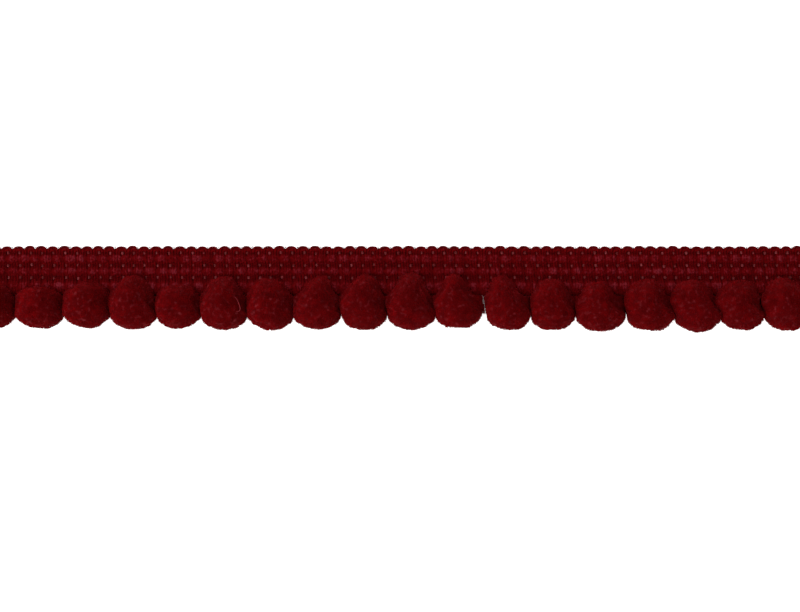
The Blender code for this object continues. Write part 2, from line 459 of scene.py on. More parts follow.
@dataclass(frozen=True, kw_only=True)
class PileFinish(DyedFibre):
    """Shorn cut pile: painted shade between the fibres, brighter on their ends, with lighter and
    darker patches of painted nap sheen.
    """

    drift: float                # mm, the width of a patch of painted nap sheen
    nap_sheen: tuple[float, float] = (0.9, -0.45)     # the painted patches' gain, and what is taken off it: lighter and darker as the nap would catch the light
    clump: float = 0.4          # how much one tuft's shade tells
    depth: float = 0.85         # how much lighter the ends are than the foot: painted shade deep in the pile
    fleck_gain: float = 1.5
    fleck_from: float = 0.87    # flecks and shade have to pass this before they turn pale

    def material(self) -> Material:
        """Make the pile's material.

        Returns:
            A material that reads the tip and shade of each point.
        """
        material, shader, (place, tip, shade) = self.start()
        add = partial(add_node, material.node_tree)
        patch, mottle = (add("TexNoise", inputs={"Vector": place, "Scale": 1.0 / (width * MM),
                                                 "Detail": detail})
                         for width, detail in ((self.drift, 2.0), (self.fleck, 1.0)))
        # Painted nap sheen: lighter and darker patches.
        nap_sheen = add("Math", TIMES_PLUS, {0: patch, 1: self.nap_sheen[0], 2: self.nap_sheen[1]})
        uneven = add("Math", TIMES_PLUS, {0: shade, 1: self.clump, 2: nap_sheen})
        raised = add("Math", TIMES_PLUS_HELD, {0: tip, 1: self.depth, 2: uneven})
        caught = add("Math", TIMES_PLUS, {0: mottle, 1: self.fleck_gain, 2: shade})
        loose = add("Math", PLUS_HELD, {0: caught, 1: -self.fleck_from})
        self.paint(shader, raised, loose)
        return material


@dataclass(frozen=True)
class PaperFinish:
    """White backdrop paper, matt, with the faint tooth of its pulp."""

    name: str = "white_backdrop_paper"
    tint: str = "#f6f6f5"
    tooth: float = 0.35         # mm between the pulp's fibres
    tooth_depth: float = 0.02   # mm
    glow: float = 0.80          # from the light table under it, which keeps shadows off it

    def material(self) -> Material:
        """Make the paper's material.

        Returns:
            The material.
        """
        material, shader, place = new_material(self.name)
        add = partial(add_node, material.node_tree)
        pulp = add("TexNoise", inputs={"Vector": place, "Scale": 1.0 / (self.tooth * MM)})
        relief = add("Bump", inputs={"Height": pulp, "Strength": 0.1,
                                     "Distance": self.tooth_depth * MM})
        fill(shader, {"Normal": relief, "Base Color": linear(self.tint), "Roughness": 0.9,
                      "Specular IOR Level": 0.1, "Emission Color": (1.0, 1.0, 1.0, 1.0),
                      "Emission Strength": self.glow})
        return material


# Soft-spun acrylic weft, piece-dyed: matt, with a painted pinkish highlight on its crests where
# loose fibres would catch the light.
WEFT_YARN = YarnFinish(
    name="soft_spun_acrylic_weft", deep="#3a0002", lit="#5e0205", pale="#72202a",
    roughness=0.80, specular=0.02, sheen=0.10, sheen_roughness=0.4, sheen_tint="#d03844",
    plies=2, ply_pitch=0.9, ply_depth=0.05, fleck=0.26)
# Filament polyester binding thread: smoother and shinier, so each small loop shows as a dot. Its
# paler, greyer pinks are partly its own colour and partly painted highlight for the shine on each
# loop.
BINDING_THREAD = YarnFinish(
    name="filament_polyester_thread", deep="#5a0c0f", lit="#792a2e", pale="#863a3e",
    roughness=0.40, specular=0.20, sheen=0.10, sheen_roughness=0.4, sheen_tint="#f0b4b4",
    plies=2, ply_pitch=0.4, ply_depth=0.02, fleck=0.30)
# The same acrylic, brushed and shorn to a velvet: its ends are brighter than its depth, which is
# painted shade.
POMPOM_PILE = PileFinish(
    name="shorn_acrylic_pile", deep="#440002", lit="#7e0307", pale="#883339",
    roughness=0.90, specular=0.03, sheen=0.12, sheen_roughness=0.5, sheen_tint="#d0282f",
    drift=1.1, fleck=0.45)


# ------------------------------ tape


@dataclass(frozen=True)
class Row:
    """A line along the tape, and how the face's four strands of weft cross it."""

    across: float               # mm from the selvedge
    height: float               # mm, the strands' centres above the tape's underside
    girth: float                # mm, their radius
    lanes: tuple[float, float, float, float]    # their places, as shares of the course's width
    painted_light: float = 0.0          # painted light on these strands where above 0, painted shade where below 0


@dataclass
class HeadingTape:
    """The crochet-knitted heading tape: weft laid back and forth, and three chain-stitch lines."""

    courses: int = 75
    course_pitch: float = 1.39  # mm along the trim from one rib to the next
    width: float = 5.85         # mm from the selvedge to the foot
    lean: float = math.radians(4.0)     # of the ribs
    pitch_spread: float = 0.07  # how uneven the courses are, as a share of their pitch
    turn_spread: float = 0.05   # mm, how uneven the weft's turns are at the selvedge
    sway: float = 0.030         # mm, how far a strand strays along the trim
    bob: float = 0.022          # mm, how far it strays up or down
    bundle_bob: float = 0.020   # mm, the same, for a course's four strands together
    girth_spread: float = 0.05  # how uneven the strands are, as a share of their radius
    shade_spread: float = 0.08  # how much one strand's shade differs from the next
    bundle_spread: float = 0.07     # the same, for a course's four strands together
    resting_strip: float = 1.5  # mm beside the selvedge that lie on the table
    foot_lift: float = 1.20     # mm that the pompoms hold the foot up
    selvedge_y: float = 5.055   # mm
    seed: int = 11
    thickness: float = 1.35     # mm, from the underside to the top of a stitch
    dot_at: float = 0.37        # mm, a chain loop's middle from the edge of its course
    chains: tuple[float, ...] = (0.71, 2.24, 3.71)      # mm from the selvedge
    chain_radius: float = 0.10  # mm
    bar_middle: float = 0.66    # the middle of a course's strands, as a share of its width
    rows: tuple[Row, ...] = (
        Row(0.00, 0.60, 0.185, (0.50, 0.69, 0.97, 1.155), 0.20),    # selvedge
        Row(0.25, 0.92, 0.185, (0.50, 0.69, 0.97, 1.155), 0.20),    # turn of the weft
        Row(0.72, 0.68, 0.195, (0.34, 0.56, 0.79, 1.02)),           # first chain
        Row(1.36, 1.09, 0.245, (0.37, 0.56, 0.76, 0.95)),           # first stitches
        Row(2.24, 0.68, 0.210, (0.34, 0.55, 0.78, 1.01)),           # second chain
        Row(2.93, 1.09, 0.245, (0.37, 0.56, 0.76, 0.95)),           # second stitches
        Row(3.70, 0.68, 0.210, (0.34, 0.55, 0.78, 1.01), -0.10),    # third chain
        Row(4.02, 0.71, 0.210, (0.35, 0.55, 0.78, 0.99), -0.10),
        Row(4.68, 1.08, 0.245, (0.36, 0.56, 0.76, 0.96), 0.08),     # third stitches
        Row(5.24, 0.93, 0.215, (0.35, 0.56, 0.78, 0.99)),           # foot, under the pompoms
        Row(5.95, 0.68, 0.180, (0.36, 0.56, 0.77, 0.98), -0.10),    # lower edge
    )
    arch: tuple[float, ...] = (-0.08, 0.03, 0.04, -0.08)    # mm, each strand's rise in a stitch

    def __post_init__(self) -> None:
        """Lay out the courses and draw each strand's own unevenness."""
        draw = random.Random(self.seed)
        widths = [1.0 + draw.uniform(-self.pitch_spread, self.pitch_spread)
                  for _ in range(self.courses)]
        pitch = self.courses * self.course_pitch / sum(widths)
        self.turns = [draw.uniform(-self.turn_spread, self.turn_spread) for _ in widths]
        self.widths = np.array(widths) * pitch
        self.edges = np.concatenate(([0.0], np.cumsum(self.widths))) - self.half_length
        self.knots, self.heights, self.girths, self.painted_lights = np.array(
            [(row.across, row.height, row.girth, row.painted_light) for row in self.rows]).T
        rng = np.random.default_rng(self.seed)
        strands = (self.courses, 4, len(self.rows))
        bundles = (self.courses, 1, len(self.rows))
        self.sideways = rng.normal(0.0, self.sway, strands)
        self.upwards = (rng.normal(0.0, self.bob, strands)
                        + rng.normal(0.0, self.bundle_bob, bundles))
        in_stitch = (self.knots > 0.3) & (self.heights > 0.9)       # high, and past the turns
        self.upwards += np.array(self.arch)[None, :, None] * in_stitch
        self.fullness = 1.0 + rng.normal(0.0, self.girth_spread, strands)
        # Random tone per strand and course, plus each row's painted light or shade.
        self.tone_and_painted_light = (rng.normal(0.0, self.shade_spread, strands)
                           + rng.normal(0.0, self.bundle_spread, bundles) + self.painted_lights)

    @property
    def half_length(self) -> float:
        """Half of the cut length, in mm."""
        return self.courses * self.course_pitch / 2

    @property
    def foot_y(self) -> float:
        """Where the tape's foot lies in Y, in mm."""
        return self.selvedge_y - self.width

    def underside(self, across: Array) -> Array:
        """Height of the underside: flat at the selvedge, and lifted by the pompoms at the foot."""
        return self.foot_lift * smooth((across - self.resting_strip)
                                       / (self.width - self.resting_strip))

    def place(self, along: Array, across: Array, height: Array) -> Array:
        """Carry tape coordinates into the part's frame.

        Args:
            along: Millimetres along the trim, before the ribs' lean.
            across: Millimetres from the selvedge.
            height: Millimetres above the tape's underside.

        Returns:
            Points in millimetres, one per row.
        """
        leaning = along + math.tan(self.lean) * (across - self.width / 2)
        return np.column_stack(np.broadcast_arrays(leaning, self.selvedge_y - across,
                                                   self.underside(across) + height))

    def leg(self, course: int, lane: int, across: Array) -> tuple[Array, ...]:
        """Follow one strand of the face's weft across the tape.

        Args:
            course: The course's number.
            lane: The strand's number in the course, from 0 to 3.
            across: Where it is read, in millimetres from the selvedge.

        Returns:
            Its place along the trim, its height and its radius, in millimetres, and its shade.
        """
        lanes = np.array([row.lanes[lane] for row in self.rows]) * self.widths[course]
        along, height, radius, shade = (ease_through(across, self.knots, curve) for curve in (
            lanes + self.sideways[course, lane], self.heights + self.upwards[course, lane],
            self.girths * self.fullness[course, lane], self.tone_and_painted_light[course, lane]))
        return self.edges[course] + along, height, radius, shade

    def turn(self, start: tuple[float, float], stop: tuple[float, float], reach: float,
             count: int = 9) -> tuple[Array, Array]:
        """Turn a strand round at an edge of the tape, a little squarer than a circle.

        Args:
            start: Where it leaves, along and across, in millimetres.
            stop: Where it comes back.
            reach: How far across the turn's peak lies.
            count: How many points the turn has.

        Returns:
            The turn's places along and across.
        """
        power = 2.0 / 2.6       # 2 over 2 would be a circle
        angle = np.linspace(math.pi, 0.0, count + 2)[1:-1]
        sway = np.sign(np.cos(angle)) * np.abs(np.cos(angle)) ** power
        lift = np.abs(np.sin(angle)) ** power
        along = (start[0] + stop[0]) / 2 + (stop[0] - start[0]) / 2 * sway
        level = start[1] + (stop[1] - start[1]) * (sway + 1) / 2
        return along, level + (reach - level) * lift

    def weft(self, lanes: tuple[int, int], peak: float,
             foot: float) -> tuple[Array, Array, Array]:
        """Lay one end of the face's weft back and forth along the whole tape.

        Args:
            lanes: The strands of each course that it makes, going down and coming up.
            peak: How far from the selvedge its turns peak there.
            foot: How far from the selvedge its turns reach at the foot.

        Returns:
            The yarn's centreline, its radius and its shade.
        """
        down = np.linspace(0.64, 5.28, 27)      # mm from the selvedge, between the turns
        stretches = []

        def bend(start: tuple[float, float], stop: tuple[float, float], reach: float) -> None:
            """Lay a turn at an edge.

            Args:
                start: Where it leaves, along and across, in millimetres.
                stop: Where it comes back.
                reach: How far across the turn's peak lies.
            """
            along, across = self.turn(start, stop, reach)
            # The turns take each row's painted light or shade as their shade.
            stretches.append((along, across, *(ease_through(across, self.knots, curve) for curve
                                               in (self.heights, self.girths, self.painted_lights))))

        for course in range(self.courses):
            legs = [self.leg(course, lane, down) for lane in lanes]
            if course:
                bend((stretches[-1][0][-1], down[0]), (legs[0][0][0], down[0]),
                     peak - self.turns[course - 1])
            stretches.append((legs[0][0], down, *legs[0][1:]))
            bend((legs[0][0][-1], down[-1]), (legs[1][0][-1], down[-1]), foot)
            stretches.append((legs[1][0][::-1], down[::-1], *(part[::-1] for part in legs[1][1:])))
        along, across, height, radius, shade = (np.concatenate(part) for part in zip(*stretches))
        return self.place(along, across, height), radius, shade

    def build_face(self) -> Batch:
        """Lay the face's weft: two ends of soft yarn side by side, going back and forth.

        Returns:
            Its mesh.
        """
        batch = Batch("weft_face")
        # Each end's strands, and how far from the selvedge it turns there and at the foot.
        ends = (((0, 3), 0.32, 5.76), ((1, 2), 0.045, 5.50))
        trough, rise = 0.72, 0.36       # mm above the underside, and from there to a crest
        for lanes, peak, foot in ends:
            path, radius, shade = self.weft(lanes, peak, foot)
            above = path[:, 2] - self.underside(self.selvedge_y - path[:, 1])
            # The tip value rises with the strands' height: painted shade in the troughs, painted
            # light on the crests.
            batch.thread(path, radius, 6, shade, tip=smooth((above - trough) / rise))
        return batch

    def build_back(self) -> Batch:
        """Lay the back's weft: one thicker end that closes the tape's underside.

        Returns:
            Its mesh.
        """
        # mm from the selvedge, and mm above the underside there.
        knots = np.array((0.0, 0.3, 0.71, 1.4, 2.24, 2.95, 3.71, 4.5, 5.2, 5.85))
        heights = np.array((0.36, 0.24, 0.32, 0.23, 0.32, 0.23, 0.32, 0.23, 0.32, 0.36))
        down = np.linspace(0.55, 5.3, 15)       # mm from the selvedge, between the turns
        sides = np.array((0.09, 0.59))      # its two passes, as shares of a course's width
        foot, selvedge, radius = 5.62, 0.35, 0.23       # mm: where it turns, and its radius
        path = []

        def lay(along: float | Array, across: Array) -> None:
            """Lay a stretch of it."""
            path.append(self.place(along, across, ease_through(across, knots, heights)))

        for course in range(self.courses):
            going, coming = self.edges[course] + sides * self.widths[course]
            lay(going, down)
            lay(*self.turn((going, down[-1]), (coming, down[-1]), foot, count=5))
            lay(coming, down[::-1])
            if course + 1 < self.courses:
                onward = self.edges[course + 1] + sides[0] * self.widths[course + 1]
                lay(*self.turn((coming, down[0]), (onward, down[0]), selvedge, count=6))
        batch, line = Batch("weft_back"), np.vstack(path)
        # Tip 0 and a shade of -0.10 draw it darker than the face: painted shade under the face.
        batch.thread(line, np.full(len(line), radius), 6, shade=-0.10, squash=0.85)
        return batch

    def build_web(self) -> Batch:
        """Make the closed web between face and back, in which the chain threads run.
        """
        valley, face, back = 0.68, 0.76, 0.38       # mm: strands under a chain, and its two sides
        follow, swell = 1.05, 0.04      # of the strands' rise, and mm that each course swells it
        start, stop, end = 0.22, self.width + 0.04, self.half_length - 0.05     # mm, its edges
        along = np.linspace(-end, end, self.courses * 4 + 1)
        across = np.linspace(start, stop, 40)
        grid_along, grid_across = (grid.ravel() for grid in
                                   np.meshgrid(along, across, indexing="ij"))
        course = np.clip(np.searchsorted(self.edges, grid_along, side="right") - 1,
                         0, self.courses - 1)
        phase = (grid_along - self.edges[course]) / self.widths[course]
        ripple = swell * np.cos(2.0 * math.pi * (phase - self.bar_middle))
        level = ease_through(grid_across, self.knots, self.heights)
        top = self.place(grid_along, grid_across, face + follow * (level - valley) + ripple)
        bottom = self.place(grid_along, grid_across, back + ripple)
        rows, columns = len(along), len(across)
        number = np.arange(rows * columns).reshape(rows, columns)
        cells = np.stack((number[:-1, :-1], number[1:, :-1], number[1:, 1:], number[:-1, 1:]),
                         axis=-1).reshape(-1, 4)
        rim = np.concatenate((number[:-1, 0], number[-1, :-1], number[:0:-1, -1],
                              number[0, :0:-1]))
        wall = np.column_stack((rim, np.roll(rim, -1), np.roll(rim, -1) + rows * columns,
                                rim + rows * columns))
        crest, lightest = 0.40, 0.8     # mm above a valley, and the tip value there
        # Darker in its valleys and, by a shade of -0.15, all over: painted shade between the
        # strands.
        tip = lightest * smooth((level - valley) / crest)
        batch = Batch("tape_web")
        batch.add(np.vstack((top, bottom)), [cells[:, ::-1], cells + rows * columns, wall],
                  tip=np.concatenate((tip, tip)), shade=-0.15)
        return batch

    def build_chains(self) -> Batch:
        """Lay the chain-stitch lines, each loop of which rises over the weft as a small dot.

        Returns:
            Their mesh.
        """
        batch = Batch("chain_stitches")
        rng = np.random.default_rng(self.seed + 1)
        # One loop: steps along the line, its rise from 0 to 1, and how far its two sides part.
        steps = np.array((-0.20, -0.13, -0.085, -0.04, 0.0, 0.05, 0.11, 0.17, 0.27, 0.69))
        rise = np.array((0.0, 0.35, 0.75, 0.96, 1.0, 0.96, 0.75, 0.35, 0.0, 0.0))
        apart = np.array((0.05, 0.06, 0.07, 0.075, 0.08, 0.075, 0.07, 0.065, 0.05, 0.05))
        low, high = 0.42, 0.98      # mm above the underside
        uneven = (0.03, 0.07, 0.04)     # mm, how far a loop strays along, up and across
        by_side, by_loop, darker = 0.1, 0.34, 0.3       # what makes up its shade
        for across in self.chains:
            stray = rng.normal(0.0, 1.0, (self.courses, 4))
            for side in (-1.0, 1.0):
                pieces = []
                for course in range(self.courses):
                    middle = self.edges[course] + self.dot_at + uneven[0] * stray[course, 0]
                    height = low + (high + uneven[1] * stray[course, 1] - low) * rise
                    line = across + uneven[2] * stray[course, 2] + side * apart
                    pieces.append(self.place(middle + steps, line, height))
                path = np.vstack(pieces)
                shade = by_side * side - darker + by_loop * np.repeat(stray[:, 3], len(steps))
                batch.thread(path, np.full(len(path), self.chain_radius), 5, shade, squash=0.65)
        return batch

    def build_fluff(self) -> Batch:
        """Raise the loose fibres that stand out of the weft, most of them on its crests.

        Returns:
            Their mesh.
        """
        batch = Batch("weft_fluff")
        rng = np.random.default_rng(self.seed + 2)
        count = 24000
        crests, spread = (0.20, 1.38, 2.93, 4.62, 5.30), 0.32       # mm from the selvedge
        first, last = 0.1, 5.7      # mm from the selvedge
        hair, tuft, shortest, longest = 0.016, 0.020, 0.12, 0.34        # mm, radii and lengths
        strewn, raised = (0.8, 0.8, 0.5), (0.0, 0.0, 0.55)      # how they point all ways, and up
        selvedge, outwards = 0.45, 1.1      # mm where they point outwards too, and how much
        elbow, curve = 0.55, 0.35       # of their length: where they bend, and how far aside
        level = (1.0, 1.0, 0.4)     # they bend less up or down than aside
        rooted, spotted = 0.8, 0.25     # of a strand's radius, and how much their shades differ
        course = rng.integers(0, self.courses, count)
        lane = rng.integers(0, 4, count)
        across = np.clip(rng.choice(crests, count) + rng.normal(0.0, spread, count), first, last)
        roots = np.zeros((count, 3))
        for i in range(count):
            along, height, radius, _ = self.leg(int(course[i]), int(lane[i]), across[i:i + 1])
            roots[i] = self.place(along, across[i:i + 1], height + rooted * radius)[0]
        out = rng.normal(0.0, 1.0, (count, 3)) * strewn + raised
        out[:, 1] += np.where(across < selvedge, outwards, 0.0)
        out = unit(out)
        length = rng.uniform(shortest, longest, (count, 1))
        bend = rng.normal(0.0, curve, (count, 3)) * length
        middles = roots + out * length * elbow
        ends = roots + out * length + bend * level
        shade = rng.normal(0.0, spotted, count)
        bent = count // 4       # the rest are straight
        batch.hairs(roots[:bent], middles[:bent], ends[:bent], hair, rng, shade[:bent])
        batch.tufts(roots[bent:], ends[bent:], np.full(count - bent, tuft), rng, shade[bent:],
                    root_tip=0.5)
        return batch

    def build(self) -> list[Object]:
        """Make the whole tape, and hide the part's own tape.

        Returns:
            The tape's pieces.
        """
        yarn, thread = WEFT_YARN.material(), BINDING_THREAD.material()
        web = self.build_web().make(yarn, Slot.TAPE)
        others = [batch.make(finish, Slot.TAPE) for batch, finish in (
            (self.build_face(), yarn), (self.build_back(), yarn), (self.build_chains(), thread),
            (self.build_fluff(), yarn))]
        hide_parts("tape")
        return [web, *others]


# ------------------------------ pompoms


@dataclass(frozen=True)
class PileCut:
    """How the pile of every pompom is cut and shorn."""

    depth: float = 5.50         # mm, from the surface to the top of the pile
    flat_spot: float = 0.40     # mm of pile pressed flat where a pompom rests
    centre_drop: float = 1.00   # mm, from the tape's foot down to a pompom's centre
    side_bulge: float = 1.16    # reach sideways before the neighbours press the pile flat
    foot_bulge: float = 1.60    # the same, low down beside the tape, where it fills the gaps
    crown_bulge: float = 0.89   # the same, high up beside the tape, where it falls away
    squareness: float = 2.5     # of the crown's outline: 2 is round, and more is squarer
    chin_squareness: float = 2.12   # the same, of the outline's lower half
    chin_shift: float = 0.07    # mm that the lower half stands aside
    neighbour_gap: float = -0.05    # mm left to a neighbour's pile: the ends mesh a little
    tape_gap: float = 0.06      # mm left to the tape
    tufts: int = 9600
    clumps: int = 300           # yarn ends, each fluffed into one clump of tufts
    tuft_radius: float = 0.065  # mm at the root
    tuft_depth: float = 0.10    # of the ball's radius
    heart_depth: float = 0.55   # of the tufts' depth, how far below their ends the heart starts
    unshorn: float = 1.055      # the pile's reach before the shears, of the ball's radius
    shorn: tuple[float, float] = (0.965, 1.0)       # the flats that they leave, from and to
    lump: float = 0.012         # of the radius, how high or deep a lump is
    parting: tuple[float, float] = (0.02, 0.05)     # of the radius, how deep, from and to
    parting_width: float = 0.045    # of the radius
    clump_spread: float = 0.007     # of the radius, how uneven the clumps' reach is
    tuft_spread: float = 0.008  # the same, within a clump
    clump_dome: float = 0.015   # of the radius, how much higher a clump's middle stands
    clump_tilt: float = 0.025   # of the radius, how far a clump's ends stray together
    tuft_tilt: float = 0.010    # of the radius, how far each strays on its own
    gather: float = 0.1225      # how far a clump draws its ends to its middle, of the way there
    clump_shade: float = 0.06   # how much the clumps' shades differ
    tuft_shade: float = 0.07    # the same, within a clump
    strays: int = 60
    stray_radius: float = 0.022     # mm
    stray_length: tuple[float, float] = (0.01, 0.06)    # of the radius, out of the pile
    crown_fluff: int = 180      # loose fibres where the crown meets the tape
    fluff_radius: float = 0.016     # mm
    fluff_length: float = 0.18  # mm out of the pile
    rooted: float = 0.03        # of the ball's radius, how deep strays and fluff are rooted
    bridging: int = 950         # loose fibres for each mm of room beside a pompom
    bridge_radius: float = 0.014    # mm


@dataclass(frozen=True)
class LooseFibre:
    """A pale fibre that has worked loose and lies curled on a pompom."""

    pompom: int                 # the pompom's number
    curl: tuple[tuple[float, float], ...]       # where it lies on the ball, sideways and up
    radius: float = 0.042       # mm
    lift: float = 1.07          # how far out it lies, as a share of the ball's radius


@dataclass(frozen=True)
class Pompom:
    """One pompom: a tied bundle of cut pile, shorn to a ball, its top tuft over the tape."""

    number: int
    at: float                   # mm, its centre along the trim
    width: float                # mm of the room that its pile fills
    hang: float                 # mm from the tape's foot down to its lowest pile
    lap: float                  # mm from the tape's foot up to the tip of its top tuft
    lean: float                 # mm of that tip, to the side
    taper: float                # how much narrower than a squared ball that tuft is
    shift: float                # mm that its crown leans aside, as the trim was wound
    fall: float                 # how much sooner its crown falls away at the right
    tape: HeadingTape
    cut: PileCut
    room: float = 0.0           # mm open to the next pompom at its right
    free_side: int = 0          # -1 or 1 where there is no neighbour at its left or right
    loose: tuple[LooseFibre, ...] = ()

    def place(self, ball: Array) -> Array:
        """Carry points of the unit ball to their places in this pompom.

        Args:
            ball: Points in or on the unit ball, one per row: along, towards the tape, and up.

        Returns:
            Points in millimetres, one per row.
        """
        cut = self.cut
        half_width = self.width / 2 - cut.neighbour_gap / 2
        rise, fallen = np.maximum(ball[:, 1], 0.0), np.minimum(ball[:, 1], 0.0)
        # Weights that rise from 0 to 1 over a stretch of the unit ball: for the upper side, the
        # flanks below it, the half beside the tape, and that half with a little more below it.
        high = smooth((ball[:, 2] + 0.42) / 0.75)
        low = (1.0 - high) * smooth((ball[:, 2] + 1.0) / 0.45)
        crown = smooth((ball[:, 1] + 0.45) / 0.57)
        over = smooth(1.0 + fallen / 0.48)
        # How wide the ball is there before its neighbours press it flat.
        narrowing = smooth(rise / 0.60) * self.taper * high
        bulge = (cut.side_bulge + (cut.foot_bulge - cut.side_bulge) * over * low
                 + (cut.crown_bulge - cut.side_bulge) * crown * high)
        bulge = bulge + (1.0 - bulge) * smooth(self.free_side * ball[:, 0] / 0.3)
        shoulder = self.squared(rise, cut.squareness)
        chin = self.squared(-fallen, cut.chin_squareness)
        fall = self.fall * (0.25 + 0.75 * crown) * high * smooth(ball[:, 0] / 0.5)
        share = (bulge * (1.0 - narrowing) * (1.0 + (shoulder - 1.0) * high) * chin
                 * (1.0 - fall) * ball[:, 0])
        hardness = 30           # how sharply the flats between neighbours begin
        pressed = share / (1.0 + np.abs(share) ** hardness) ** (1 / hardness)
        along = (self.at + half_width * pressed
                 + high * (self.lean * rise + self.shift * crown * (1.0 - rise))
                 + cut.chin_shift * smooth(-ball[:, 1] / 0.6))
        reach = np.where(ball[:, 1] > 0.0, self.lap + cut.centre_drop,
                         self.hang - cut.centre_drop)
        y = self.tape.foot_y - cut.centre_drop + reach * ball[:, 1]
        sag = self.tape.foot_lift - self.tape.underside(
            self.tape.selvedge_y - np.maximum(y, self.tape.foot_y))
        z = (cut.depth + cut.flat_spot) / 2 * (1.0 + ball[:, 2]) - cut.flat_spot - sag
        return np.column_stack((along, y, np.maximum(z, 0.0)))

    @staticmethod
    def squared(level: Array, power: float) -> Array:
        """How much wider than a circle a squarer outline is at a level from 0 to 1."""
        held = np.minimum(level, 0.97)
        return (1.0 - held ** power) ** (1.0 / power) / np.sqrt(1.0 - held ** 2)

    def surface(self, directions: Array, rng: np.random.Generator) -> Array:
        """Shear the ball: shallow lumps, flats left by the shears and partings in the pile.

        Args:
            directions: Unit vectors from the ball's centre.
            rng: The seeded source of unevenness.

        Returns:
            The pile's reach in each direction, as a share of the ball's radius.
        """
        cut = self.cut
        lumps, flats, partings, crispness = 12, 14, 3, 60
        lump_focus, parting_focus = 9.0, 5.0        # higher is narrower, or shorter
        glancing = 0.2      # the shears only reach what faces them at least so much
        reach = np.full(len(directions), cut.unshorn)
        for _ in range(lumps):
            towards = unit(rng.normal(size=3))
            reach += rng.normal(0.0, cut.lump) * np.exp(lump_focus * (directions @ towards - 1.0))
        for _ in range(flats):
            towards = unit(rng.normal(size=3))
            facing = directions @ towards
            flat = rng.uniform(*cut.shorn) / np.maximum(facing, glancing)
            softer = -np.log(np.exp(-crispness * reach) + np.exp(-crispness * flat)) / crispness
            reach = np.where(facing > glancing, softer, reach)
        for _ in range(partings):
            across, middle = unit(rng.normal(size=3)), unit(rng.normal(size=3))
            line = np.exp(-((directions @ across) / cut.parting_width) ** 2)
            reach -= (rng.uniform(*cut.parting) * line
                      * np.exp(parting_focus * (directions @ middle - 1.0)))
        return reach

    def clear_of_tape(self, directions: Array, reach: Array) -> Array:
        """Find how far the pile reaches before it would meet the tape.

        Args:
            directions: Unit vectors from the ball's centre.
            reach: The pile's reach in each direction.

        Returns:
            The share of that reach which is clear of the tape.
        """
        gap = self.cut.tape_gap
        free = np.ones(len(directions))
        shares, step = np.linspace(0.3, 1.0, 36)[::-1], 0.02        # tried from outside in
        for share in shares:
            spot = self.place(directions * (reach * share)[:, None])
            across = self.tape.selvedge_y - spot[:, 1]
            under = self.tape.underside(across)
            meets = ((across < self.tape.width + gap) & (spot[:, 2] > under - gap)
                     & (spot[:, 2] < under + self.tape.thickness + gap))
            free = np.where(meets, share - step, free)
        return free

    def build(self, core: tuple[Array, Array], finish: Material) -> Object:
        """Make the pompom: its packed heart, its tufts and a few stray fibres.

        Args:
            core: The directions of an even ball's points, and its triangles.
            finish: The pile's material.

        Returns:
            The piece.
        """
        cut = self.cut
        batch = Batch(f"pile_{self.number:02d}")
        directions, triangles = core
        shape_seed = 500 + self.number
        rng = np.random.default_rng(900 + self.number)

        # The heart, just under the shorn ends, in the deep colour: painted shade under the tufts.
        reach = self.surface(directions, np.random.default_rng(shape_seed))
        free = self.clear_of_tape(directions, reach)
        heart = reach * np.minimum(free, 1.0 - cut.heart_depth * cut.tuft_depth)
        batch.add(self.place(directions * heart[:, None]), [triangles])

        # The tufts, each of which leans a little towards the middle of its own clump.
        out = even_directions(cut.tufts, rng, stray=0.25)
        clumps = even_directions(cut.clumps, rng, stray=0.30)
        near = out @ clumps.T
        mine = near.argmax(1)
        spacing = math.sqrt(4.0 * math.pi / cut.clumps)
        off = np.arccos(np.clip(near.max(1), -1.0, 1.0)) / spacing
        reach = self.surface(out, np.random.default_rng(shape_seed))
        reach += (rng.normal(0.0, cut.clump_spread, cut.clumps)[mine]
                  + rng.normal(0.0, cut.tuft_spread, len(out)))
        reach += cut.clump_dome * (0.35 - off)      # 0.35 is about the mean of off
        keep = self.clear_of_tape(out, reach) > 0.995
        out, reach, mine = out[keep], reach[keep], mine[keep]
        tilt = rng.normal(0.0, cut.clump_tilt, (cut.clumps, 3))[mine]
        ends = (out * reach[:, None] + cut.gather * (clumps[mine] - out) + tilt
                + rng.normal(0.0, cut.tuft_tilt, out.shape))
        shorn = 1.005 * reach       # what would stand past this is cut back
        ends *= np.minimum(1.0, shorn / np.linalg.norm(ends, axis=1))[:, None]
        roots = out * (reach - cut.tuft_depth)[:, None]
        shade = (rng.normal(0.0, cut.clump_shade, cut.clumps)[mine]
                 + rng.normal(0.0, cut.tuft_shade, len(out)))
        radius = cut.tuft_radius * rng.uniform(0.8, 1.2, len(out))
        ends_at = self.place(ends)
        # Their tip value runs from 0.15 at the root to 1 at the end: painted shade deep in the
        # pile.
        batch.tufts(self.place(roots), ends_at, radius, rng, shade, root_tip=0.15)

        # Strays, which stand a little out of the pile all round.
        pick = rng.choice(len(out), cut.strays, replace=False)
        roots = self.place(out[pick] * (reach[pick] - cut.rooted)[:, None])
        sway = rng.normal(0.0, 0.03, (len(pick), 3))
        longer = rng.uniform(*cut.stray_length, (len(pick), 1))
        middles = self.place(out[pick] * (reach[pick, None] + longer * 0.5) + sway * 0.3)
        ends = self.place(out[pick] * (reach[pick, None] + longer) + sway)
        batch.hairs(roots, middles, ends, cut.stray_radius, rng,
                    rng.normal(0.25, 0.25, len(pick)))

        # Fluff, where the crown meets the tape.
        crown = rng.choice(np.flatnonzero(out[:, 1] > 0.25), cut.crown_fluff, replace=False)
        roots = self.place(out[crown] * (reach[crown] - cut.rooted)[:, None])
        away = rng.normal(0.0, cut.fluff_length, (len(crown), 3))
        batch.hairs(roots, roots + 0.6 * away + 0.5 * (ends_at[crown] - roots),
                    ends_at[crown] + away, cut.fluff_radius, rng,
                    rng.normal(0.0, 0.15, len(crown)))

        if self.room > 0.15:
            self.bridge(batch, rng)
        for fibre in self.loose:
            self.curl(batch, fibre)
        piece = batch.make(finish, Slot.PILE)
        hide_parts(f"pompom_{self.number:02d}")
        return piece

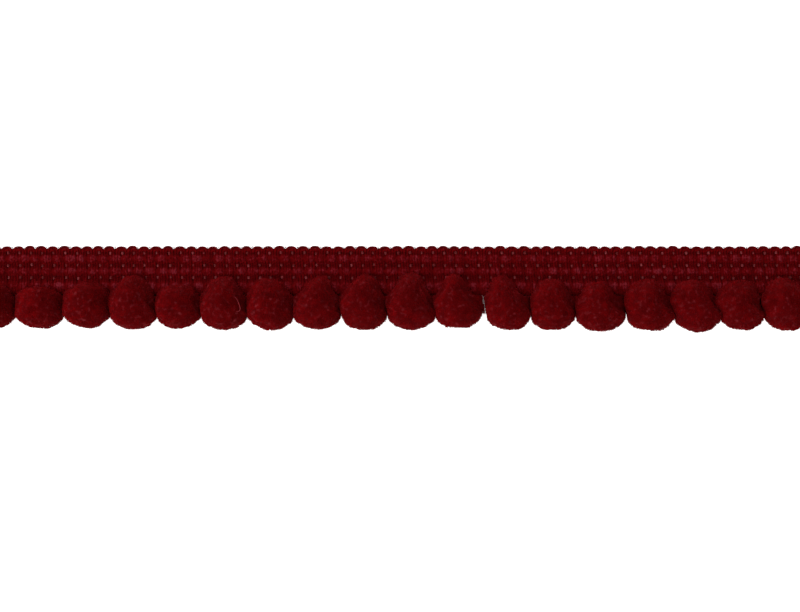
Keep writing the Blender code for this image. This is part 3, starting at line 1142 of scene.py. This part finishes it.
    def bridge(self, batch: Batch, rng: np.random.Generator) -> None:
        """Let loose fibres of the flank stray into the open room beside it.

        Args:
            batch: The pompom's mesh, to which they are added.
            rng: The seeded source of unevenness.
        """
        count = int(self.cut.bridging * self.room)
        levels, heights = (-0.38, 0.27), (-0.50, 0.10)      # of the ball's radius, from and to
        lengths, aside = (0.7, 1.25), 0.3       # of the room
        level = rng.uniform(*levels, count)
        height = rng.uniform(*heights, count)
        flank = np.column_stack((np.sqrt(1.0 - level ** 2 - height ** 2 * 0.9), level, height))
        roots = self.place(flank)
        away = np.column_stack((rng.uniform(*lengths, count) * self.room,
                                rng.normal(0.0, aside, count) * self.room,
                                rng.normal(0.0, aside, count) * self.room))
        batch.hairs(roots, roots + away * (0.5, 0.8, 0.5), roots + away,
                    self.cut.bridge_radius, rng, rng.normal(0.0, 0.1, count))

    def curl(self, batch: Batch, fibre: LooseFibre) -> None:
        """Lay a curled loose fibre on the pile.

        Args:
            batch: The pompom's mesh, to which it is added.
            fibre: The fibre.
        """
        knots, steps = np.linspace(0.0, 1.0, len(fibre.curl)), np.linspace(0.0, 1.0, 16)
        flat = np.column_stack([np.polyval(np.polyfit(knots, part, 3), steps)
                                for part in np.transpose(fibre.curl)])
        high = np.sqrt(1.0 - (flat ** 2).sum(axis=1))
        path = self.place(fibre.lift * np.column_stack((flat, high)))
        taper = np.sin(np.linspace(0.15, math.pi - 0.15, len(path))) ** 0.5
        batch.thread(path, fibre.radius * taper, 5, shade=1.0, tip=1.0)


@dataclass
class PompomRow:
    """The row of pompoms along the tape's foot."""

    tape: HeadingTape
    cut: PileCut = field(default_factory=PileCut)
    # at, width, hang, lap and lean of each in mm, its taper, its shift in mm, and its fall
    sizes: tuple[tuple[float, ...], ...] = (
        (-47.95, 5.65, 3.98, 1.60, 0.00, 0.15, -0.40, 0.09),
        (-42.20, 5.70, 4.00, 0.95, -0.10, 0.05, 0.05, 0.09),
        (-36.50, 5.65, 3.96, 1.55, 0.20, 0.02, -0.10, 0.09),
        (-30.90, 5.55, 4.05, 2.30, 0.00, 0.20, -0.40, 0.05),
        (-25.40, 5.35, 3.98, 1.25, 0.20, 0.02, -0.25, 0.09),
        (-19.95, 5.50, 4.12, 2.40, -0.10, 0.34, -0.20, 0.09),
        (-14.40, 5.55, 4.16, 2.05, -0.10, 0.18, 0.00, 0.09),
        (-8.75, 5.75, 4.02, 2.45, 0.40, 0.52, -0.05, 0.12),
        (-3.10, 5.55, 4.13, 2.40, 0.25, 0.30, -0.36, 0.09),
        (2.60, 5.75, 4.11, 2.70, 0.05, 0.36, -0.32, 0.09),
        (8.30, 5.60, 4.02, 2.45, -0.60, 0.52, -0.42, 0.18),
        (14.35, 5.37, 4.18, 2.40, -1.20, 0.50, -0.25, 0.20),
        (19.70, 5.35, 4.27, 1.95, -0.10, 0.24, -0.08, 0.18),
        (25.45, 6.00, 4.33, 1.60, -0.20, 0.34, -0.26, 0.44),
        (31.45, 5.70, 4.36, 1.95, -0.40, 0.22, -0.48, 0.30),
        (37.05, 5.55, 4.39, 1.80, -0.70, 0.16, -0.60, 0.09),
        (42.45, 5.25, 4.18, 1.75, -0.25, 0.10, -0.95, 0.12),
        (47.95, 5.65, 4.22, 2.05, -0.40, 0.18, -0.45, 0.05),
    )
    loose: tuple[LooseFibre, ...] = (
        LooseFibre(6, ((0.75, 0.22), (0.82, 0.11), (0.83, -0.02), (0.76, -0.16), (0.64, -0.26),
                       (0.52, -0.29))),
    )

    def build(self) -> list[Object]:
        """Make every pompom.

        Returns:
            The pompoms' pieces.
        """
        finish = POMPOM_PILE.material()
        bm = bmesh.new()
        bmesh.ops.create_icosphere(bm, subdivisions=5, radius=1.0)
        directions = unit(np.array([vert.co for vert in bm.verts], float))
        triangles = np.array([[vert.index for vert in face.verts] for face in bm.faces])
        bm.free()
        edges = [(at - width / 2, at + width / 2) for at, width, *_ in self.sizes]
        rooms = [after[0] - before[1] for before, after in zip(edges, edges[1:])] + [0.0]
        free_sides = [-1] + [0] * (len(self.sizes) - 2) + [1]
        return [Pompom(number, *sizes, tape=self.tape, cut=self.cut,
                       room=rooms[number - 1], free_side=free_sides[number - 1],
                       loose=tuple(fibre for fibre in self.loose if fibre.pompom == number),
                       ).build((directions, triangles), finish)
                for number, sizes in enumerate(self.sizes, start=1)]


# ------------------------------ studio


@dataclass
class Studio:
    """White paper, soft light from the lower left, and a camera that looks straight down."""

    paper_half: float = 3.0     # m, half of the paper's side
    frame_width: float = 96.4   # mm across the camera's frame
    aim: tuple[float, float] = (1.27, -2.09)    # mm, what the frame's middle shows
    aim_height: float = 2.5     # mm
    lens: float = 100.0         # mm
    sensor: float = 36.0        # mm
    sky: float = 0.65           # strength of the white light from all round
    key: float = 2.48           # W, of the one lamp
    lamp_size: float = 0.60     # m
    lamp_at: tuple[float, float, float] = (-0.28, -0.05, 0.42)      # m

    def build(self) -> None:
        """Set the floor, the lights and the camera."""
        self.floor()
        self.light()
        self.camera()

    def floor(self) -> None:
        """Lay the paper under the trim."""
        bm = bmesh.new()
        bmesh.ops.create_grid(bm, x_segments=8, y_segments=8, size=self.paper_half)
        mesh = bpy.data.meshes.new("paper")
        bm.to_mesh(mesh)
        bm.free()
        mesh.materials.append(PaperFinish().material())
        paper = bpy.data.objects.new("paper", mesh)
        bpy.context.scene.collection.objects.link(paper)

    def light(self) -> None:
        """Fill the studio with even white light, and add one wide soft lamp."""
        world = bpy.data.worlds.new("studio")
        bpy.context.scene.world = world
        world.use_nodes = True
        fill(world.node_tree.nodes["Background"],
             {"Color": (1.0, 1.0, 1.0, 1.0), "Strength": self.sky})
        lamp = bpy.data.lights.new("softbox", "AREA")
        lamp.shape, lamp.size, lamp.energy = "DISK", self.lamp_size, self.key
        thing = bpy.data.objects.new("softbox", lamp)
        thing.location = self.lamp_at
        thing.rotation_euler = (-Vector(thing.location)).to_track_quat("-Z", "Y").to_euler()
        bpy.context.scene.collection.objects.link(thing)
        bpy.context.scene.view_settings.view_transform = "Standard"

    def camera(self) -> None:
        """Look straight down on the trim."""
        data = bpy.data.cameras.new("camera")
        data.lens, data.sensor_width = self.lens, self.sensor
        distance = self.frame_width / self.sensor * self.lens
        data.clip_start, data.clip_end = 0.01, 10.0
        camera = bpy.data.objects.new("camera", data)
        camera.location = (self.aim[0] * MM, self.aim[1] * MM,
                           (self.aim_height + distance) * MM)
        bpy.context.scene.collection.objects.link(camera)
        bpy.context.scene.camera = camera


def main() -> None:
    """Build the trim and its studio."""
    logging.basicConfig(level=logging.INFO, format="%(name)s: %(message)s")
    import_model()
    tape = HeadingTape()
    LOG.info("tape: %d pieces", len(tape.build()))
    LOG.info("pompoms: %d pieces", len(PompomRow(tape).build()))
    Studio().build()
    bpy.context.view_layer.update()


if __name__ == "__main__":
    main()
